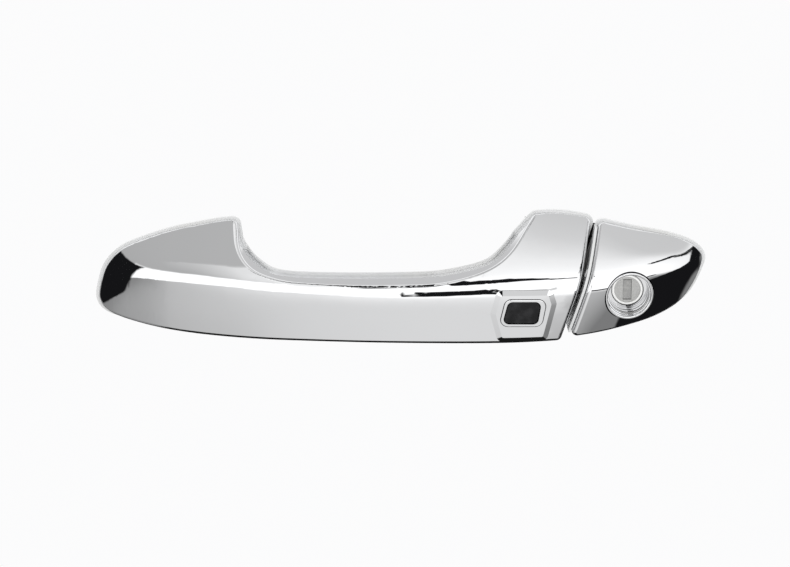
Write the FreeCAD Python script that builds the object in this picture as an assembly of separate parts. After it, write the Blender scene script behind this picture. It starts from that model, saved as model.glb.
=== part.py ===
"""Outside door handle of a car with bright plated covers, keyless button and key lock.

Row frame, in millimetres: X runs along the handle towards the key end, Y runs into the door and Z is up.
The origin is midway between the two fixing screws of the inner frame, on the inner face of the door panel.
The panel itself is left out: it would fill the slot between y = -PANEL and y = 0.
A depth is always a distance in front of the panel's outer face, so a point at depth d has y = -(PANEL + d).
"""

import FreeCAD, Part
import math
import os

V = FreeCAD.Vector
X_AXIS = V(1, 0, 0)
Y_AXIS = V(0, 1, 0)
Z_AXIS = V(0, 0, 1)

# Door panel and the seals on it
PANEL = 0.8
GASKET = 0.8
GASKET_GAP = 0.3
GASKET_MARGIN = 0.5

# Front view of the two covers, as points (x, z)
WING_LEFT = (-70.2, 24.5)
TIP_LEFT = (-129.3, -8.6)
WING_RIGHT = (55.8, 26.8)
SPLIT_TOP = (80.4, 24.9)
SPLIT_BOTTOM = (66.3, -21.8)
GRIP_TOP = 4.0
NOTCH_FLOOR_LEFT = -39.0
NOTCH_FLOOR_RIGHT = 5.0
TIP_RIGHT = (127.8, 8.3)
COVER_GAP = 3.3
KEY_BOTTOM_RISE = 1.5
WING_RADIUS = 2.6
SPLIT_RADIUS = 2.4

# Plated covers: wall at the sides, wall along Y at the front, and what holds them
COVER_WALL = 1.2
COVER_FRONT = 1.7
COVER_EDGE_RADIUS = 1.6
HANDLE_EDGE_RADIUS = 2.0
TAPE = 0.8
TAPE_FILM = 0.02
TAPE_MARGIN = 3.0
TAPE_PADS = [(-112, -84), (-76, -46), (-36, 30)]
KEY_TAPE_PADS = [(76, 84), (107, 116)]
RIM_DEPTH = 3.0
RIM_GAP = 0.15
LIP = 1.2
FIN = 1.1
FIN_GAP = 0.35
FIN_DROP = 1.2
FIN_ENDS = 2.0
SIDE_GAP = 0.2

# Grip: the hollow behind it for the fingers, and the two halves under the cover
FINGER_DEPTH = 17.0
FINGER_LEFT = -66.0
FINGER_RIGHT = 48.0
FINGER_LEAN = 12.0
FINGER_RADIUS = 7.0
GRIP_RIM = 1.6
BACK_THICKNESS = 5.0
CORE_WALL = 2.2
PARTING_GAP = 0.05
CORE_RIBS = [-100, -82, -64, -44, -24, 16]
RIB = 1.6

# Screws that join the halves, from behind, as points (x, z)
JOIN_SCREWS = [(-92, 2), (-4, -9), (61, 10)]
JOIN_SHANK = 1.5
JOIN_HEAD = 3.0
JOIN_HEAD_HEIGHT = 2.0
JOIN_LENGTH = 9.0
JOIN_BOSS = 3.6
FIT = 0.05

# Button on the grip: corners of its bezel and of the raised pad around it, as points (x, z)
BEZEL_CORNERS = [(40.0, -14.0), (58.3, -14.4), (60.3, -1.7), (42.7, -1.3)]
BEZEL_RADIUS = 3.4
BUTTON_CORNERS = [(41.7, -12.6), (56.4, -13.0), (57.7, -2.9), (44.0, -2.7)]
BUTTON_RADIUS = 2.3
PAD_CORNERS = [(36.6, -8.5), (40.0, -21.5), (60.6, -21.4), (64.2, -4.0), (62.2, 2.2), (39.2, 2.2)]
PAD_RADIUS = 3.0
PAD_RAISE = 0.6
PAD_SLOPE = 2.2
PAD_LIFT = 0.8
PAD_TILT = 0.28
BEZEL_RAISE = 0.5
BEZEL_EDGE = 0.45
BEZEL_BACK = 29.6
BUTTON_GAP = 0.15
BUTTON_RAISE = 0.1
BUTTON_TRAVEL = 1.2
BUTTON_FLANGE = 1.5
HOUSING_BACK = 22.6
HOUSING_FLOOR = 1.8
HOUSING_WALL = 1.4
DOME_RADIUS = 3.0

# Key lock in the end cap
LOCK = (95.1, -3.2)
RING_OUTER = 10.3
RING_MOUTH = 9.2
RING_RAISE = 0.3
RING_TURN = 13.0
RING_DROOP = 8.0
RING_EDGE = 0.4
RING_STEP = 3.4
RING_SHOULDER = 8.8
RING_THROAT = 8.2
RING_BACK = 11.0
PLUG_FACE = 15.0
PLUG_RADIUS = 6.8
PLUG_DISH = 5.6
PLUG_DISH_DEPTH = 0.5
TURNING_GAP = 0.08
KEY_SLOT = (3.6, 8.8, 12.0)
SHUTTER_SINK = 0.95
SHUTTER_THICKNESS = 0.8
LOCK_BODY_END = 26.0
TAIL_SIDE = 6.0
CAM_THICKNESS = 3.0
CAM_REACH = 17.0
CLIP_THICKNESS = 0.9
LOCK_BORE_WALL = 2.4

# Pivot at the left end, in the door
PIVOT = (-120.0, 6.0)
PIVOT_PIN = 2.0
PIVOT_EYE = 4.6
PIVOT_LEG = (-11.0, -1.4)
PIVOT_EAR = 4.6
TIP_RELIEF_ANGLE = 9.0
PIN_HEAD = 2.9

# Leg at the right end, which reaches through the panel and pulls the crank
LEG_X = (53.5, 65.5)
LEG_Z = (-19.0, -8.0)
LEG_END = 38.0
LEG_WINDOW_X = (56.1, 62.6)
LEG_WINDOW_Y = (21.5, 32.3)
LEG_ROOM = 1.2

# Bell crank on a pin along X
CRANK_Y = 17.0
CRANK_Z = 8.5
CRANK_ARM = 20.5
CRANK_REST = 35.0
CRANK_PIN = 2.0
CRANK_HUB = 4.5
CRANK_HUB_X = (53.0, 68.6)
FINGER_X = (58.0, 62.0)
FINGER_TIP = 3.0
ARM_HALF = 2.0
OUTPUT_X = (54.0, 57.0)
OUTPUT_REACH = 16.0
OUTPUT_LEAN = -20.0
ROD_HOLE = 2.1
ROD_EYE = 4.2
WEIGHT_REACH = 10.5
WEIGHT_RADIUS = 4.2
WEIGHT_X = (55.5, 67.5)
SPRING_X = (63.4, 67.6)
SPRING_MEAN = 5.3
SPRING_WIRE = 0.5

# Inner frame, clamped to the back of the panel by two screws
BOLT_SPREAD = 154.0
BOLT_HOLE = 2.75
PLATE = 3.0
FRAME_INSET = 3.5
FRAME_CUT_LEFT = -60.0
FRAME_CUT_RIGHT = 49.5
CHEEK_LEFT = (49.5, 52.5)
CHEEK_RIGHT = (69.3, 72.8)
CHEEK_Z = (-22.0, -5.0)
EAR_RADIUS = 4.6
BRIDGE_Y = (41.0, 44.0)
BUMPER_RADIUS = 4.0
BEAM_Y = (23.0, 28.0)
BEAM_Z = (-29.0, -13.0)
BEAM_FLANGE = 3.0
WEB_X = (-73.0, -69.5)
LOCK_SCREW_Y = 12.0
LOCK_SCREW = 2.5
LOCK_BOSS_X = (107.5, 113.5)


def law(stations):
    """A smooth law through stations (x, value) that makes no bumps of its own between them."""
    xs = [s[0] for s in stations]
    ys = [s[1] for s in stations]
    last = len(xs) - 1
    rise = [(ys[i + 1] - ys[i]) / (xs[i + 1] - xs[i]) for i in range(last)]
    slope = [rise[0]]
    for i in range(1, last):
        before, after = rise[i - 1], rise[i]
        slope.append(0.0 if before * after <= 0 else 2 * before * after / (before + after))
    slope.append(rise[-1])

    def value(x):
        if x <= xs[0]:
            return ys[0] + slope[0] * (x - xs[0])
        if x >= xs[last]:
            return ys[last] + slope[last] * (x - xs[last])
        i = max(k for k in range(last) if xs[k] <= x)
        step = xs[i + 1] - xs[i]
        t = (x - xs[i]) / step
        return (
            (2 * t**3 - 3 * t**2 + 1) * ys[i]
            + (t**3 - 2 * t**2 + t) * step * slope[i]
            + (3 * t**2 - 2 * t**3) * ys[i + 1]
            + (t**3 - t**2) * step * slope[i + 1]
        )

    return value


# Crowned face of both covers: a ridge with a steep face above it and a full face below it
RIDGE_DEPTH = law([
    (-130, 8), (-118, 15), (-95, 24), (-60, 32.5), (-20, 37.5), (20, 38.5),
    (60, 37), (88, 31), (108, 22.5), (130, 8),
])
RIDGE_HEIGHT = law([
    (-130, 2), (-108, 5.5), (-80, 5), (-50, 3.4), (0, 2.6), (50, 4.4),
    (84, 5), (106, 9), (130, 10),
])
TOP_EDGE = law([
    (-130, 4), (-118, 13), (-97, 20), (-72, 24.5), (-30, 28), (20, 29),
    (58, 27.3), (80, 25), (100, 20.6), (118, 16), (130, 10),
])
BOTTOM_EDGE = law([
    (-130, -11), (-122, -16), (-96, -21), (-60, -22.2), (20, -22.4), (67, -21.8),
    (96, -17.8), (114, -12.6), (124, -3), (130, 5),
])
BOTTOM_DEPTH = law([
    (-130, 5), (-115, 10.5), (-100, 15.5), (-80, 20.5), (-50, 26.5), (0, 30.5),
    (40, 31), (66, 28.5), (86, 23), (104, 15), (118, 8.5), (130, 3),
])
UPPER_FULLNESS = law([(-130, 1.0), (20, 1.0), (60, 1.22), (130, 1.22)])
LOWER_FULLNESS = 1.35
TOP_DEPTH = 4.5
RIDGE_SOFTNESS = 5.0
TIP_SOFTNESS = 3.0


def soft_least(a, b, softness):
    """The lesser of a and b, rounded over where they cross."""
    return 0.5 * (a + b - math.hypot(a - b, softness))


def crown(x, z):
    """Depth of the crowned face in front of the panel."""
    ridge, height = RIDGE_DEPTH(x), RIDGE_HEIGHT(x)
    up = (z - height) / max(TOP_EDGE(x) - height, 6.0)
    above = ridge - (ridge - TOP_DEPTH) * (up if up < 0 else up ** UPPER_FULLNESS(x))
    down = (height - z) / max(height - BOTTOM_EDGE(x), 8.0)
    below = ridge - (ridge - BOTTOM_DEPTH(x)) * (down if down < 0 else down**LOWER_FULLNESS)
    face = soft_least(above, below, RIDGE_SOFTNESS)
    left_tip = TOP_DEPTH + 1.0 * (x - TIP_LEFT[0] - 0.8) - 0.3 * (z + 4)
    right_tip = TOP_DEPTH + 1.5 * (TIP_RIGHT[0] - x) - 0.35 * (z - 8)
    return soft_least(soft_least(face, left_tip, TIP_SOFTNESS), right_tip, TIP_SOFTNESS)


# Stations of the crowned face's net: along the handle, closer at the tips, and up and down from the ridge
NET_TIP = (136.0, 98.0, 12)
NET_MIDDLE = 20
NET_RISE = [-40, -30, -23, -17.5, -13, -9, -5.6, -2.8, 0, 2.8, 5.6, 9, 13, 18, 24, 32]


def net_stations():
    end, start, count = NET_TIP
    tip = [start + (end - start) * (i + 1) / count for i in range(count)]
    middle = [start * (2 * i / NET_MIDDLE - 1) for i in range(NET_MIDDLE + 1)]
    return [-x for x in reversed(tip)] + middle + tip


def crown_face(inset):
    """The crowned face once it is moved `inset` towards the door. Its net follows the ridge."""
    net = []
    for x in net_stations():
        heights = [RIDGE_HEIGHT(x) + rise for rise in NET_RISE]
        net.append([V(x, -(PANEL + crown(x, z) - inset), z) for z in heights])

    def knots(count):
        spans = count - 3
        return [i / spans for i in range(spans + 1)], [4] + [1] * (spans - 1) + [4]

    (uk, um), (vk, vm) = knots(len(net)), knots(len(NET_RISE))
    surface = Part.BSplineSurface()
    surface.buildFromPolesMultsKnots(net, um, vm, uk, vk, False, False, 3, 3)
    return surface.toShape()


def crown_block(inset):
    """Everything behind the crowned face."""
    return crown_face(inset).extrude(V(0, 90, 0))


def in_box(start, end, shares):
    """Points between two corners, each as a share of the way across and of the way up."""
    return [(start[0] + u * (end[0] - start[0]), start[1] + w * (end[1] - start[1])) for u, w in shares]


def curve_through(points):
    """A straight side through two points, or a smooth one through more."""
    marks = [V(x, 0, z) for x, z in points]
    if len(marks) == 2:
        return Part.LineSegment(*marks).toBSpline()
    curve = Part.BSplineCurve()
    curve.interpolate(marks)
    return curve


def moved_side(points, distance):
    """One side of an outline moved outwards and made longer at both ends, so that neighbours always cross."""
    curve = curve_through(points)
    first, last = curve.FirstParameter, curve.LastParameter
    count = 2 if len(points) == 2 else 3 * len(points)
    fresh = []
    ways = []
    for i in range(count):
        at = first + (last - first) * i / (count - 1)
        place, way = curve.value(at), curve.tangent(at)[0]
        fresh.append((place.x + distance * way.z, place.z - distance * way.x))
        ways.append(way)
    reach = abs(distance) + 3.0
    start = (fresh[0][0] - reach * ways[0].x, fresh[0][1] - reach * ways[0].z)
    end = (fresh[-1][0] + reach * ways[-1].x, fresh[-1][1] + reach * ways[-1].z)
    return curve_through([start] + fresh + [end] if count > 2 else [start, end])


def outline(sides, radii, distance=0.0):
    """A closed outline whose sides, given anticlockwise, are moved outwards and meet in rounded corners."""
    curves = [moved_side(side, distance) for side in sides]
    corners = []
    for i, side in enumerate(sides):
        old = V(side[0][0], 0, side[0][1])
        meets = [V(m.X, m.Y, m.Z) for m in curves[i - 1].intersectCC(curves[i])]
        corners.append(min(meets, key=lambda m: m.distanceToPoint(old)))
    edges = []
    for i, curve in enumerate(curves):
        following = corners[(i + 1) % len(corners)]
        edges.append(curve.toShape(curve.parameter(corners[i]), curve.parameter(following)))
    wire = Part.Wire(edges)
    for corner, radius in zip(corners, radii):
        if radius + distance > 0.3:
            wire = rounded(wire, corner, radius + distance)
    return wire


def rounded(wire, corner, radius):
    """The same outline with one corner rounded."""
    block = Part.Face(wire).extrude(V(0, -10, 0))
    upright = [
        e for e in block.Edges
        if abs(e.tangentAt(e.FirstParameter).y) > 0.99
        and math.hypot(e.Vertexes[0].X - corner.x, e.Vertexes[0].Z - corner.z) < 0.1
    ]
    block = block.makeFillet(radius, upright)
    back = [f for f in block.Faces if f.BoundBox.YLength < 1e-3 and abs(f.BoundBox.YMax) < 1e-3]
    return back[0].OuterWire


def handle_sides():
    """Sides of the handle cover: the left end in one sweep, the split, the right wing, the hand notch."""
    top = in_box(WING_LEFT, TIP_LEFT, [
        (0.12, 0.02), (0.30, 0.08), (0.48, 0.15), (0.66, 0.255),
        (0.81, 0.37), (0.90, 0.50), (0.955, 0.65), (0.985, 0.83),
    ])
    bottom = in_box(TIP_LEFT, SPLIT_BOTTOM, [
        (0.003, 0.22), (0.014, 0.41), (0.034, 0.57), (0.071, 0.72), (0.128, 0.86),
        (0.20, 0.97), (0.30, 1.03), (0.45, 1.04), (0.66, 1.05), (0.867, 1.045),
    ])
    left_floor, right_floor = (NOTCH_FLOOR_LEFT, GRIP_TOP), (NOTCH_FLOOR_RIGHT, GRIP_TOP)
    fall = in_box(WING_LEFT, left_floor, [
        (0.03, 0.14), (0.064, 0.45), (0.16, 0.68), (0.30, 0.82),
        (0.46, 0.9), (0.73, 0.975),
    ])
    climb = in_box(right_floor, WING_RIGHT, [
        (0.173, 0.02), (0.346, 0.08), (0.488, 0.155), (0.606, 0.243),
        (0.703, 0.35), (0.80, 0.51), (0.89, 0.73),
    ])
    crest = in_box(WING_RIGHT, SPLIT_TOP, [(0.28, -0.3), (0.6, -0.06)])
    return [
        [WING_LEFT] + top + [TIP_LEFT] + bottom + [SPLIT_BOTTOM],
        [SPLIT_BOTTOM, SPLIT_TOP],
        [SPLIT_TOP] + crest[::-1] + [WING_RIGHT],
        [WING_RIGHT] + climb[::-1] + [right_floor, left_floor] + fall[::-1] + [WING_LEFT],
    ]


def key_corners():
    """Corners of the key end cover at the split, a constant gap away from the handle cover."""
    dx, dz = SPLIT_TOP[0] - SPLIT_BOTTOM[0], SPLIT_TOP[1] - SPLIT_BOTTOM[1]
    length = math.hypot(dx, dz)
    top = (SPLIT_TOP[0] + COVER_GAP * dz / length, SPLIT_TOP[1] - COVER_GAP * dx / length)
    bottom_z = SPLIT_BOTTOM[1] + KEY_BOTTOM_RISE
    return top, (top[0] - (top[1] - bottom_z) * dx / dz, bottom_z)


def key_sides():
    """Sides of the key end cover: one sweep around the tip, closed along the split."""
    top, bottom = key_corners()
    under = in_box(bottom, TIP_RIGHT, [
        (0.27, 0.045), (0.444, 0.094), (0.62, 0.164), (0.743, 0.255),
        (0.83, 0.353), (0.901, 0.51), (0.951, 0.689), (0.988, 0.88),
    ])
    over = in_box(TIP_RIGHT, top, [
        (0.036, 0.204), (0.124, 0.39), (0.251, 0.53), (0.414, 0.645),
        (0.609, 0.748), (0.80, 0.86),
    ])
    return [[bottom] + under + [TIP_RIGHT] + over + [top], [top, bottom]]


def handle_outline(distance=0.0):
    return outline(handle_sides(), [WING_RADIUS, SPLIT_RADIUS, SPLIT_RADIUS, WING_RADIUS], distance)


def key_outline(distance=0.0):
    return outline(key_sides(), [SPLIT_RADIUS, SPLIT_RADIUS], distance)


def straight_outline(corners, radius, distance):
    sides = [[corners[i], corners[(i + 1) % len(corners)]] for i in range(len(corners))]
    return outline(sides, [radius] * len(corners), distance)


def bezel_outline(distance=0.0):
    return straight_outline(BEZEL_CORNERS, BEZEL_RADIUS, distance)


def button_outline(distance=0.0):
    return straight_outline(BUTTON_CORNERS, BUTTON_RADIUS, distance)


def pad_outline(distance=0.0):
    return straight_outline(PAD_CORNERS, PAD_RADIUS, distance)


def bridge_outline(distance=0.0):
    """An area over the split, so that one gasket and one plate run under both parts."""
    top, bottom = key_corners()
    corners = [
        (SPLIT_BOTTOM[0] - 6, SPLIT_BOTTOM[1] + 1),
        (bottom[0] + 4, bottom[1] + 1.5),
        (top[0] + 4, top[1] - 1.5),
        (SPLIT_TOP[0] - 6, SPLIT_TOP[1] - 3),
    ]
    return straight_outline(corners, 0.0, distance)


def depth_y(depth):
    return -(PANEL + depth)


def slab(wire, low, high):
    """A plate with this front outline, between two depths."""
    plate = Part.Face(wire).extrude(V(0, -(high - low), 0))
    plate.translate(V(0, depth_y(low), 0))
    return plate


def box(x, y, z):
    """A box from three (low, high) pairs."""
    block = Part.makeBox(x[1] - x[0], y[1] - y[0], z[1] - z[0])
    block.translate(V(x[0], y[0], z[0]))
    return block


def rod_y(x, z, radius, y_low, y_high):
    return Part.makeCylinder(radius, y_high - y_low, V(x, y_low, z), Y_AXIS)


def rod_x(y, z, radius, x_low, x_high):
    return Part.makeCylinder(radius, x_high - x_low, V(x_low, y, z), X_AXIS)


def rod_z(x, y, radius, z_low, z_high):
    return Part.makeCylinder(radius, z_high - z_low, V(x, y, z_low), Z_AXIS)


def joined(shapes):
    whole = shapes[0]
    for shape in shapes[1:]:
        whole = whole.fuse(shape)
    return whole.removeSplitter()


def door_side(depth):
    """Everything nearer the door than a depth."""
    return box((-150, 150), (depth_y(depth), 60), (-45, 45))


def behind(lift, rim):
    """Everything nearer the door than a rim: flat behind the wings, raised behind the grip."""
    top = FINGER_DEPTH + lift
    left, right = FINGER_LEFT - lift, FINGER_RIGHT + lift
    corners = [(left, 0), (left + FINGER_LEAN, top), (right - FINGER_LEAN, top), (right, 0)]
    points = [V(x, depth_y(d), -45) for x, d in corners]
    hollow = Part.Face(Part.makePolygon(points + points[:1])).extrude(V(0, 0, 90))
    bends = [e for e in along(hollow, Z_AXIS) if abs(e.Vertexes[0].Y - depth_y(top)) < 1e-3]
    hollow = hollow.makeFillet(FINGER_RADIUS, bends)
    return joined([hollow, door_side(rim)]) if rim > 0 else hollow


def along(shape, way):
    """The straight edges of a shape that run along an axis."""
    return [e for e in shape.Edges if abs(e.tangentAt(e.FirstParameter).dot(way)) > 0.99]


def front_edges(shape):
    """The edges of the face furthest from the door, which on these parts is the crowned front."""
    return min(shape.Faces, key=lambda f: f.CenterOfMass.y).Edges


CORE_SHIFT = COVER_FRONT + TAPE
CORE_INSET = COVER_WALL + SIDE_GAP
GRIP_LIFT = GRIP_RIM
PARTING_LIFT = BACK_THICKNESS
PARTING_DEPTH = RIM_DEPTH + BACK_THICKNESS - GRIP_RIM
DEEP = 55.0


def crowned(wire, shift, low=0.0):
    """A block with this front outline and the crowned face moved towards the door."""
    return slab(wire, low, DEEP).common(crown_block(shift))


def hollowed(outer, inner):
    """The outer block with the inner one, which lies wholly inside it, left out."""
    return Part.makeSolid(Part.makeCompound([outer.Shells[0], inner.Shells[0].reversed()]))


def raised_pad():
    """Plateau around the button: sloping edges, and a crown moved a little up so it faces more level."""
    face = crown_block(-PAD_RAISE - PAD_LIFT * PAD_TILT)
    face.translate(V(0, 0, PAD_LIFT))
    pad = slab(pad_outline(), FINGER_DEPTH, DEEP).common(face)
    slopes = [e for e in front_edges(pad) if e.CenterOfMass.z >= PAD_CORNERS[1][1] + PAD_RADIUS / 2]
    return pad.makeChamfer(PAD_RAISE - 0.1, PAD_SLOPE, slopes)


def handle_cover():
    shell = crowned(handle_outline(), 0)
    shell = shell.makeFillet(HANDLE_EDGE_RADIUS, front_edges(shell))
    pad = raised_pad()
    inside = crowned(handle_outline(-COVER_WALL), COVER_FRONT, RIM_DEPTH / 2)
    opening = slab(bezel_outline(FIT), FINGER_DEPTH, DEEP)
    return hollowed(shell.fuse(pad), inside).cut(behind(GRIP_LIFT, RIM_DEPTH)).cut(opening)


def tape(make_outline, pads):
    """Foam tape pads between a cover and what carries it."""
    sheet = crowned(make_outline(-TAPE_MARGIN), COVER_FRONT + TAPE_FILM)
    sheet = sheet.cut(crown_block(CORE_SHIFT - TAPE_FILM))
    pieces = [sheet.common(box(span, (depth_y(DEEP), depth_y(RIM_DEPTH + 6)), (-40, 40))) for span in pads]
    return Part.makeCompound([solid for piece in pieces for solid in piece.Solids])


def handle_core():
    inset = handle_outline(-CORE_INSET)
    parting = behind(PARTING_LIFT + PARTING_GAP, PARTING_DEPTH + PARTING_GAP)
    whole = crowned(inset, CORE_SHIFT)
    cavity = crowned(handle_outline(-CORE_INSET - CORE_WALL), CORE_SHIFT + CORE_WALL, RIM_DEPTH / 2)
    shell = hollowed(whole, cavity).cut(parting)
    block = whole.cut(parting)
    fillings = [box((x - RIB / 2, x + RIB / 2), (depth_y(DEEP), depth_y(0)), (-40, 40)) for x in CORE_RIBS]
    fillings += [rod_y(x, z, JOIN_BOSS, depth_y(DEEP), depth_y(0)) for x, z in JOIN_SCREWS]
    fillings.append(slab(bezel_outline(HOUSING_WALL + FIT + CORE_WALL), HOUSING_BACK - CORE_WALL, DEEP))
    core = joined([shell] + [block.common(filling) for filling in fillings])
    pocket = slab(bezel_outline(HOUSING_WALL + FIT), HOUSING_BACK, DEEP)
    core = core.cut(pocket)
    for x, z in JOIN_SCREWS:
        core = core.cut(join_screw(x, z, FIT))
    return core


def screw_seat(x):
    """Depth of the underside of a joining screw's head."""
    inside_grip = FINGER_LEFT + FINGER_LEAN < x < FINGER_RIGHT - FINGER_LEAN
    return (FINGER_DEPTH if inside_grip else GASKET + GASKET_GAP) + JOIN_HEAD_HEIGHT + 0.5


def join_screw(x, z, gap=0.0):
    seat = depth_y(screw_seat(x))
    head = rod_y(x, z, JOIN_HEAD + gap, seat, seat + JOIN_HEAD_HEIGHT + 4 * gap)
    shank = rod_y(x, z, JOIN_SHANK + gap, seat - JOIN_LENGTH - gap, seat)
    return head.fuse(shank)


def handle_screws():
    screws = []
    for x, z in JOIN_SCREWS:
        seat = depth_y(screw_seat(x))
        socket = rod_y(x, z, JOIN_SHANK * 0.7, seat + JOIN_HEAD_HEIGHT * 0.4, seat + JOIN_HEAD_HEIGHT)
        screws.append(join_screw(x, z).cut(socket).Solids[0])
    return Part.makeCompound(screws)


def handle_back():
    base = GASKET + GASKET_GAP
    lip = slab(handle_outline(LIP), base, DEEP).common(behind(GRIP_RIM - RIM_GAP, RIM_DEPTH - RIM_GAP))
    inner = crowned(handle_outline(-CORE_INSET), CORE_SHIFT, base).common(behind(PARTING_LIFT, PARTING_DEPTH))
    body = joined([lip, inner]).cut(behind(0, 0))
    # The tip left of the pivot swings towards the panel, so its back is cut at an angle
    relief = box((-40, 0), (0, 20), (-40, 40))
    relief.rotate(V(0, 0, 0), Z_AXIS, TIP_RELIEF_ANGLE)
    relief.translate(V(PIVOT[0], depth_y(base), 0))
    body = body.cut(relief)
    eye = rod_z(PIVOT[0], PIVOT[1], PIVOT_EYE, *PIVOT_LEG)
    neck = box((PIVOT[0] - PIVOT_EYE, PIVOT[0] + 1.5 * PIVOT_EYE), (depth_y(base + 1.5), PIVOT[1]), PIVOT_LEG)
    leg = box(LEG_X, (depth_y(base + 1), LEG_END), LEG_Z)
    leg = leg.makeFillet(1.5, [e for e in along(leg, Z_AXIS) if e.Vertexes[0].Y > LEG_END - 1])
    window = box(LEG_WINDOW_X, LEG_WINDOW_Y, (LEG_Z[0] - 1, LEG_Z[1] + 1))
    body = joined([body, eye, neck, leg.cut(window)])
    body = body.cut(rod_z(PIVOT[0], PIVOT[1], PIVOT_PIN + TURNING_GAP, PIVOT_LEG[0] - 1, PIVOT_LEG[1] + 1))
    for x, z in JOIN_SCREWS:
        seat = depth_y(screw_seat(x))
        body = body.cut(rod_y(x, z, JOIN_HEAD + FIT, seat, seat + 12))
        body = body.cut(rod_y(x, z, JOIN_SHANK + FIT, seat - JOIN_LENGTH, seat))
    return body


def button_bezel():
    blank = crowned(bezel_outline(), -PAD_RAISE - BEZEL_RAISE, BEZEL_BACK)
    blank = blank.makeFillet(BEZEL_EDGE, front_edges(blank))
    return blank.cut(slab(button_outline(BUTTON_GAP), 0, DEEP))


def request_button():
    cap = crowned(button_outline(), -PAD_RAISE - BUTTON_RAISE, BEZEL_BACK - BUTTON_FLANGE)
    cap = cap.makeFillet(0.5, front_edges(cap))
    flange = slab(button_outline(BUTTON_GAP + 0.5), BEZEL_BACK - 0.1 - BUTTON_FLANGE, BEZEL_BACK - 0.1)
    return joined([cap, flange])


def button_housing():
    cup = slab(bezel_outline(HOUSING_WALL), HOUSING_BACK, BEZEL_BACK)
    return cup.cut(slab(bezel_outline(-0.2), HOUSING_BACK + HOUSING_FLOOR, DEEP))


def button_middle():
    xs = [p[0] for p in BEZEL_CORNERS]
    zs = [p[1] for p in BEZEL_CORNERS]
    return sum(xs) / len(xs), sum(zs) / len(zs)


def switch_dome():
    x, z = button_middle()
    floor = HOUSING_BACK + HOUSING_FLOOR
    top = BEZEL_BACK - 0.1 - BUTTON_FLANGE - BUTTON_TRAVEL - 0.2
    foot = rod_y(x, z, DOME_RADIUS, depth_y(floor + 0.6), depth_y(floor))
    dome = Part.makeCone(DOME_RADIUS - 0.4, 1.2, top - floor - 0.6, V(x, depth_y(floor + 0.6), z), -Y_AXIS)
    return joined([foot, dome])


def key_end_cover():
    shell = crowned(key_outline(), 0)
    shell = shell.makeFillet(COVER_EDGE_RADIUS, front_edges(shell))
    inside = crowned(key_outline(-COVER_WALL), COVER_FRONT, RIM_DEPTH / 2)
    opening = rod_y(LOCK[0], LOCK[1], RING_OUTER + FIT, depth_y(DEEP), depth_y(0))
    return hollowed(shell, inside).cut(door_side(RIM_DEPTH)).cut(opening)


def split_fin():
    """Painted strip that stands in the split, beside the edge of the key end cover."""
    top, bottom = key_corners()
    outer = crowned(key_outline(FIN_GAP + FIN), FIN_DROP, RIM_DEPTH / 2)
    low, high = bottom[1] + FIN_ENDS, top[1] - FIN_ENDS
    corners = [(bottom[0] - 8, low), (bottom[0] + FIN_ENDS, low)]
    corners += [(top[0] + FIN_ENDS, high), (top[0] - 8, high)]
    around = Part.makePolygon([V(x, depth_y(DEEP), z) for x, z in corners + corners[:1]])
    zone = Part.Face(around).extrude(V(0, DEEP, 0))
    return outer.cut(slab(key_outline(FIN_GAP), 0, DEEP)).common(zone)


def key_end_cap():
    foot = slab(key_outline(LIP), 0, RIM_DEPTH - RIM_GAP)
    core = crowned(key_outline(-CORE_INSET), CORE_SHIFT)
    cavity = crowned(key_outline(-CORE_INSET - CORE_WALL), CORE_SHIFT + CORE_WALL, GASKET / 2)
    boss = core.common(rod_y(LOCK[0], LOCK[1], RING_OUTER + LOCK_BORE_WALL, depth_y(DEEP), depth_y(0)))
    cap = joined([hollowed(foot.fuse(core), cavity), boss, split_fin()]).cut(door_side(GASKET))
    return cap.cut(rod_y(LOCK[0], LOCK[1], RING_OUTER + FIT, depth_y(DEEP), 1))


def above_ring():
    """What lies in front of the ring's flat face, which leans as the cover does, but less."""
    front = Part.makeBox(2 * DEEP, DEEP, 2 * DEEP, V(-DEEP, -DEEP, -DEEP))
    front.rotate(V(0, 0, 0), Z_AXIS, RING_TURN)
    front.rotate(V(0, 0, 0), X_AXIS, RING_DROOP)
    front.translate(V(LOCK[0], depth_y(crown(LOCK[0], LOCK[1]) + RING_RAISE), LOCK[1]))
    return front


def lock_trim_ring():
    """Bright ring with a flat leaning face, whose mouth narrows down to the plug."""
    ring = rod_y(LOCK[0], LOCK[1], RING_OUTER, depth_y(DEEP), depth_y(RING_BACK)).cut(above_ring())
    bore = rod_y(LOCK[0], LOCK[1], PLUG_RADIUS + TURNING_GAP, depth_y(DEEP), depth_y(0))
    step_height = crown(LOCK[0], LOCK[1]) - PLUG_FACE - RING_STEP
    start = V(LOCK[0], depth_y(PLUG_FACE), LOCK[1])
    funnel = Part.makeCone(RING_THROAT, RING_SHOULDER, step_height, start, -Y_AXIS)
    mouth = rod_y(LOCK[0], LOCK[1], RING_MOUTH, depth_y(DEEP), depth_y(PLUG_FACE + step_height))
    ring = ring.cut(bore).cut(funnel).cut(mouth)
    return ring.makeFillet(RING_EDGE, front_edges(ring))


def lock_rod(radius, start, end):
    """A round bar on the axis of the key lock."""
    return rod_y(LOCK[0], LOCK[1], radius, start, end)


def lock_block(half_width, half_height, start, end):
    """A square bar on the axis of the key lock."""
    across = (LOCK[0] - half_width, LOCK[0] + half_width)
    return box(across, (start, end), (LOCK[1] - half_height, LOCK[1] + half_height))


def lock_housing():
    body = lock_rod(RING_OUTER - 0.3, depth_y(RING_BACK), LOCK_BODY_END)
    body = body.cut(lock_rod(PLUG_RADIUS + TURNING_GAP, depth_y(RING_BACK) - 1, LOCK_BODY_END + 1))
    side = LOCK[0] + RING_OUTER
    return body.cut(rod_x(LOCK_SCREW_Y, LOCK[1], LOCK_SCREW + FIT, side - 1.5, side + 1))


CAM_START = LOCK_BODY_END + 0.4


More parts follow.
